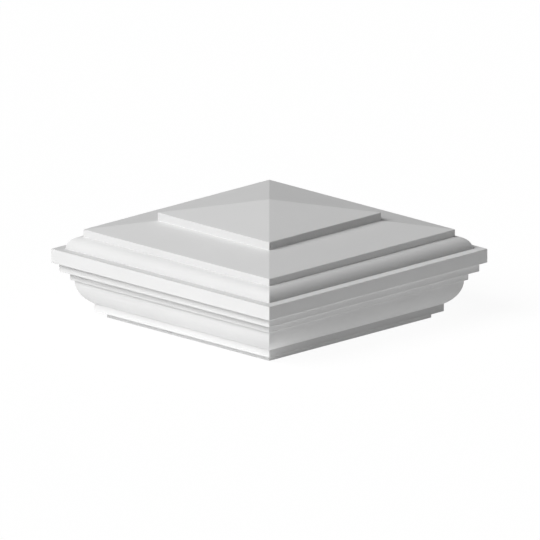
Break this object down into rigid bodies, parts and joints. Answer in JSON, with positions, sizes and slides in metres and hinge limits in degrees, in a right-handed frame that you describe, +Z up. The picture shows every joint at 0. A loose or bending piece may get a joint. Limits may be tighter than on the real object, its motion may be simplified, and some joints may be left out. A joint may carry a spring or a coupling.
{
  "type": "post cap",
  "caption": "Square moulded cap for a stair newel post, with a stepped shallow pyramid top, a rounded crown, a projecting flat band, an ovolo moulding and a locating socket underneath.",
  "frame": {"origin": "middle of the underside, on the plane of the rim that rests on the post's trim", "axes": "+Z up to the apex; X and Y square to the cap's four equal sides"},
  "size_m": [0.3048, 0.3048, 0.1214],
  "materials": {
    "moulding": "white factory primer on moulded high-density polyurethane foam, matte"
  },
  "bodies": {
    "root": {"post_cap": "moulding"}
  },
  "joints": []
}
